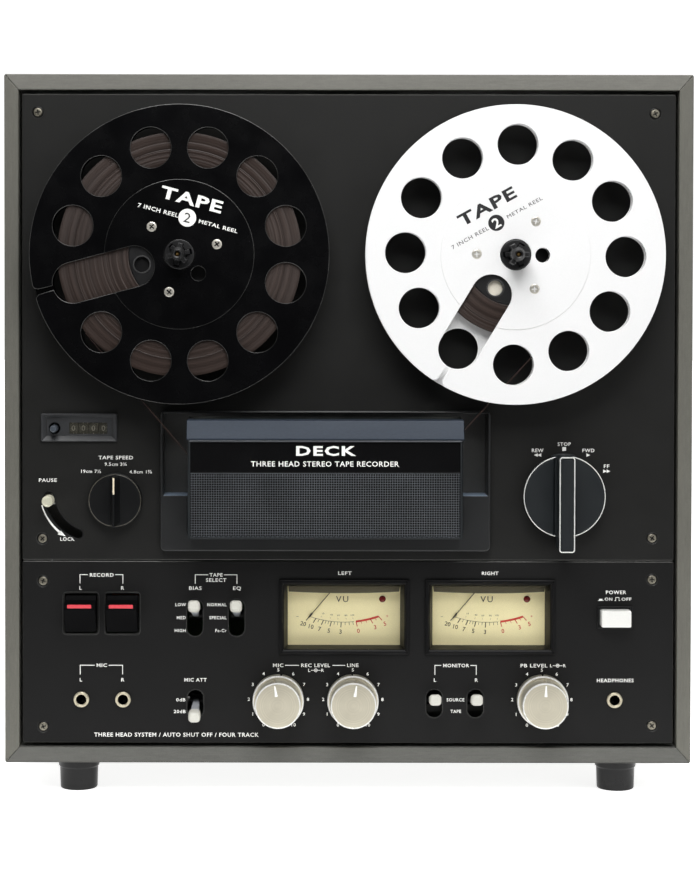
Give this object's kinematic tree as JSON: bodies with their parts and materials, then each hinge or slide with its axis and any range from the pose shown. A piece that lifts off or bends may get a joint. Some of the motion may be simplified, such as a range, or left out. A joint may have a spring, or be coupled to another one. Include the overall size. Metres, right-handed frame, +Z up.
{
  "type": "reel to reel tape deck",
  "caption": "Upright open-reel tape deck in a wooden cabinet, with reels, covered heads, transport knob, level meters and knobs.",
  "frame": {"origin": "middle of the bounding box at floor level, under the deck", "axes": "+Z up, the front faces -Y, +X to the right as seen from the front"},
  "size_m": [0.414, 0.207, 0.434],
  "materials": {
    "cabinet_vinyl": "grey wood-grained vinyl over board, satin",
    "panel_paint": "fine textured dark grey paint, matt",
    "black_plastic": "moulded black plastic, satin",
    "key_black": "moulded black plastic, gloss",
    "foot_rubber": "black moulded rubber, slight gloss",
    "bright_steel": "bright machined steel",
    "plated_brass": "plated, bright",
    "reel_black": "smooth black paint, gloss",
    "reel_white": "smooth white paint, satin",
    "tape_oxide": "brown tape, wound edge, streaky",
    "level_aluminium": "spun champagne aluminium",
    "lever_white": "off-white moulded plastic",
    "cover_grey": "blue-grey paint, satin",
    "grille_mesh": "woven wire mesh",
    "meter_dial": "cream printed card",
    "clear_window": "clear window",
    "panel_print": "white printed lettering",
    "signal_red": "red",
    "circuit_board": "green board with components"
  },
  "bodies": {
    "root": {"amplifier_board": "circuit_board", "back_cover": "panel_paint", "cabinet_shell": "cabinet_vinyl", "capstan_motor": "bright_steel", "chassis_plate": "bright_steel", "control_panel": "panel_paint", "counter_housing": "black_plastic", "deck_panel": "panel_paint", "foot_front_left": "foot_rubber", "foot_front_right": "foot_rubber", "foot_rear_left": "foot_rubber", "foot_rear_right": "foot_rubber", "head_block": "bright_steel", "head_housing": "black_plastic", "headphone_jack": "plated_brass", "meter_case_left": "black_plastic", "meter_case_right": "black_plastic", "mic_jack_left": "plated_brass", "mic_jack_right": "plated_brass", "tape_run": "tape_oxide"},
    "left_reel": {"left_reel_table": "black_plastic", "left_reel_rear_flange": "reel_black", "left_reel_front_flange": "reel_black", "left_reel_hub": "black_plastic", "left_tape_pack": "tape_oxide"},
    "right_reel": {"right_reel_table": "black_plastic", "right_reel_rear_flange": "reel_white", "right_reel_front_flange": "reel_white", "right_reel_hub": "black_plastic", "right_tape_pack": "tape_oxide"},
    "bias_lever": {"bias_lever": "lever_white"},
    "capstan_flywheel": {"capstan_flywheel": "bright_steel"},
    "counter_reset_button": {"counter_reset_button": "black_plastic"},
    "counter_wheel_hundreds": {"counter_wheel_hundreds": "black_plastic"},
    "counter_wheel_tens": {"counter_wheel_tens": "black_plastic"},
    "counter_wheel_thousands": {"counter_wheel_thousands": "black_plastic"},
    "counter_wheel_units": {"counter_wheel_units": "black_plastic"},
    "eq_lever": {"eq_lever": "lever_white"},
    "function_knob": {"function_knob": "black_plastic"},
    "head_cover": {"head_cover": "cover_grey"},
    "left_spindle_lock": {"left_spindle_lock": "black_plastic"},
    "line_level_cap": {"line_level_cap": "level_aluminium"},
    "line_level_ring": {"line_level_ring": "level_aluminium"},
    "meter_needle_left": {"meter_needle_left": "black_plastic"},
    "meter_needle_right": {"meter_needle_right": "black_plastic"},
    "mic_attenuator_lever": {"mic_attenuator_lever": "lever_white"},
    "mic_level_cap": {"mic_level_cap": "level_aluminium"},
    "mic_level_ring": {"mic_level_ring": "level_aluminium"},
    "monitor_lever_left": {"monitor_lever_left": "lever_white"},
    "monitor_lever_right": {"monitor_lever_right": "lever_white"},
    "pause_lever": {"pause_lever": "bright_steel"},
    "pinch_arm": {"pinch_arm": "bright_steel"},
    "pinch_roller": {"pinch_roller": "foot_rubber"},
    "playback_level_cap": {"playback_level_cap": "level_aluminium"},
    "playback_level_ring": {"playback_level_ring": "level_aluminium"},
    "power_button": {"power_button": "lever_white"},
    "record_key_left": {"record_key_left": "key_black"},
    "record_key_right": {"record_key_right": "key_black"},
    "right_spindle_lock": {"right_spindle_lock": "black_plastic"},
    "speed_knob": {"speed_knob": "black_plastic"}
  },
  "joints": [
    {"name": "right_reel_spin", "type": "hinge", "parent": "root", "child": "right_reel", "pos_m": [0.0986, -0.0625, 0.3256], "axis": [0, -1, 0], "continuous": true},
    {"name": "left_reel_spin", "type": "hinge", "parent": "root", "child": "left_reel", "pos_m": [-0.1007, -0.0625, 0.3256], "axis": [0, -1, 0], "continuous": true},
    {"name": "left_spindle_lock_turn", "type": "hinge", "parent": "left_reel", "child": "left_spindle_lock", "pos_m": [-0.1007, -0.0625, 0.3256], "axis": [0, -1, 0], "range_deg": [0, 60]},
    {"name": "right_spindle_lock_turn", "type": "hinge", "parent": "right_reel", "child": "right_spindle_lock", "pos_m": [0.0986, -0.0625, 0.3256], "axis": [0, -1, 0], "range_deg": [0, 60]},
    {"name": "counter_units_spin", "type": "hinge", "parent": "root", "child": "counter_wheel_units", "pos_m": [-0.14801, -0.0525, 0.221], "axis": [1, 0, 0], "continuous": true},
    {"name": "counter_tens_spin", "type": "hinge", "parent": "root", "child": "counter_wheel_tens", "pos_m": [-0.15404, -0.0525, 0.221], "axis": [1, 0, 0], "continuous": true},
    {"name": "counter_hundreds_spin", "type": "hinge", "parent": "root", "child": "counter_wheel_hundreds", "pos_m": [-0.16007, -0.0525, 0.221], "axis": [1, 0, 0], "continuous": true},
    {"name": "counter_thousands_spin", "type": "hinge", "parent": "root", "child": "counter_wheel_thousands", "pos_m": [-0.1661, -0.0525, 0.221], "axis": [1, 0, 0], "continuous": true},
    {"name": "capstan_spin", "type": "hinge", "parent": "root", "child": "capstan_flywheel", "pos_m": [0.018, -0.0625, 0.1874], "axis": [0, -1, 0], "continuous": true},
    {"name": "pinch_arm_swing", "type": "hinge", "parent": "root", "child": "pinch_arm", "pos_m": [0.048, -0.0625, 0.168], "axis": [0, 1, 0], "range_deg": [0, 11], "stiffness_Nm_per_rad": 0.1, "springref_deg": -11.46},
    {"name": "pinch_roller_spin", "type": "hinge", "parent": "pinch_arm", "child": "pinch_roller", "pos_m": [0.018, -0.0625, 0.17], "axis": [0, -1, 0], "continuous": true},
    {"name": "head_cover_pull", "type": "slide", "parent": "root", "child": "head_cover", "axis": [0, -1, 0], "range_m": [0, 0.045]},
    {"name": "function_knob_turn", "type": "hinge", "parent": "root", "child": "function_knob", "pos_m": [0.1295, -0.0625, 0.181], "axis": [0, -1, 0], "range_deg": [-60, 30]},
    {"name": "speed_knob_turn", "type": "hinge", "parent": "root", "child": "speed_knob", "pos_m": [-0.1403, -0.0625, 0.178], "axis": [0, -1, 0], "range_deg": [-45, 45]},
    {"name": "pause_lever_swing", "type": "hinge", "parent": "root", "child": "pause_lever", "pos_m": [-0.1525, -0.0625, 0.1833], "axis": [0, -1, 0], "range_deg": [0, 56]},
    {"name": "counter_reset_push", "type": "slide", "parent": "root", "child": "counter_reset_button", "axis": [0, 1, 0], "range_m": [0, 0.0015], "stiffness_N_per_m": 200, "springref_m": -0.002},
    {"name": "record_key_left_press", "type": "hinge", "parent": "root", "child": "record_key_left", "pos_m": [-0.1613, -0.0595, 0.0995], "axis": [-1, 0, 0], "range_deg": [0, 12], "stiffness_Nm_per_rad": 0.05, "springref_deg": -17.19},
    {"name": "record_key_right_press", "type": "hinge", "parent": "root", "child": "record_key_right", "pos_m": [-0.1363, -0.0595, 0.0995], "axis": [-1, 0, 0], "range_deg": [0, 12], "stiffness_Nm_per_rad": 0.05, "springref_deg": -17.19},
    {"name": "bias_lever_tilt", "type": "hinge", "parent": "root", "child": "bias_lever", "pos_m": [-0.0925, -0.0475, 0.1065], "axis": [1, 0, 0], "range_deg": [0, 37]},
    {"name": "eq_lever_tilt", "type": "hinge", "parent": "root", "child": "eq_lever", "pos_m": [-0.0673, -0.0475, 0.1065], "axis": [1, 0, 0], "range_deg": [0, 37]},
    {"name": "mic_attenuator_lever_tilt", "type": "hinge", "parent": "root", "child": "mic_attenuator_lever", "pos_m": [-0.0922, -0.0475, 0.0544], "axis": [1, 0, 0], "range_deg": [-23, 0]},
    {"name": "monitor_lever_left_tilt", "type": "hinge", "parent": "root", "child": "monitor_lever_left", "pos_m": [0.0522, -0.0475, 0.0548], "axis": [1, 0, 0], "range_deg": [0, 18]},
    {"name": "monitor_lever_right_tilt", "type": "hinge", "parent": "root", "child": "monitor_lever_right", "pos_m": [0.0771, -0.0475, 0.0548], "axis": [1, 0, 0], "range_deg": [0, 18]},
    {"name": "mic_level_ring_turn", "type": "hinge", "parent": "root", "child": "mic_level_ring", "pos_m": [-0.042, -0.0625, 0.0572], "axis": [0, -1, 0], "range_deg": [-143.4, 156.6]},
    {"name": "mic_level_cap_turn", "type": "hinge", "parent": "root", "child": "mic_level_cap", "pos_m": [-0.042, -0.0625, 0.0572], "axis": [0, -1, 0], "range_deg": [-159, 141]},
    {"name": "line_level_ring_turn", "type": "hinge", "parent": "root", "child": "line_level_ring", "pos_m": [0.003, -0.0625, 0.0572], "axis": [0, -1, 0], "range_deg": [-151.6, 148.4]},
    {"name": "line_level_cap_turn", "type": "hinge", "parent": "root", "child": "line_level_cap", "pos_m": [0.003, -0.0625, 0.0572], "axis": [0, -1, 0], "range_deg": [-141.5, 158.5]},
    {"name": "playback_level_ring_turn", "type": "hinge", "parent": "root", "child": "playback_level_ring", "pos_m": [0.1173, -0.0625, 0.0572], "axis": [0, -1, 0], "range_deg": [-148.8, 151.2]},
    {"name": "playback_level_cap_turn", "type": "hinge", "parent": "root", "child": "playback_level_cap", "pos_m": [0.1173, -0.0625, 0.0572], "axis": [0, -1, 0], "range_deg": [-149, 151]},
    {"name": "power_button_press", "type": "slide", "parent": "root", "child": "power_button", "axis": [0, 1, 0], "range_m": [0, 0.003], "stiffness_N_per_m": 300, "springref_m": -0.003},
    {"name": "meter_needle_left_swing", "type": "hinge", "parent": "root", "child": "meter_needle_left", "pos_m": [-0.0023, -0.0625, 0.1304], "axis": [0, -1, 0], "range_deg": [0, 81], "stiffness_Nm_per_rad": 0.001, "springref_deg": -11.46},
    {"name": "meter_needle_right_swing", "type": "hinge", "parent": "root", "child": "meter_needle_right", "pos_m": [0.0858, -0.0625, 0.1304], "axis": [0, -1, 0], "range_deg": [0, 81], "stiffness_Nm_per_rad": 0.001, "springref_deg": -11.46}
  ],
  "couplings": [
    {"joint": "left_reel_spin", "follows": "right_reel_spin", "ratio": 0.6621},
    {"joint": "counter_units_spin", "follows": "right_reel_spin", "ratio": 0.1},
    {"joint": "counter_tens_spin", "follows": "right_reel_spin", "ratio": 0.01},
    {"joint": "counter_hundreds_spin", "follows": "right_reel_spin", "ratio": 0.001},
    {"joint": "counter_thousands_spin", "follows": "right_reel_spin", "ratio": 0.0001}
  ]
}
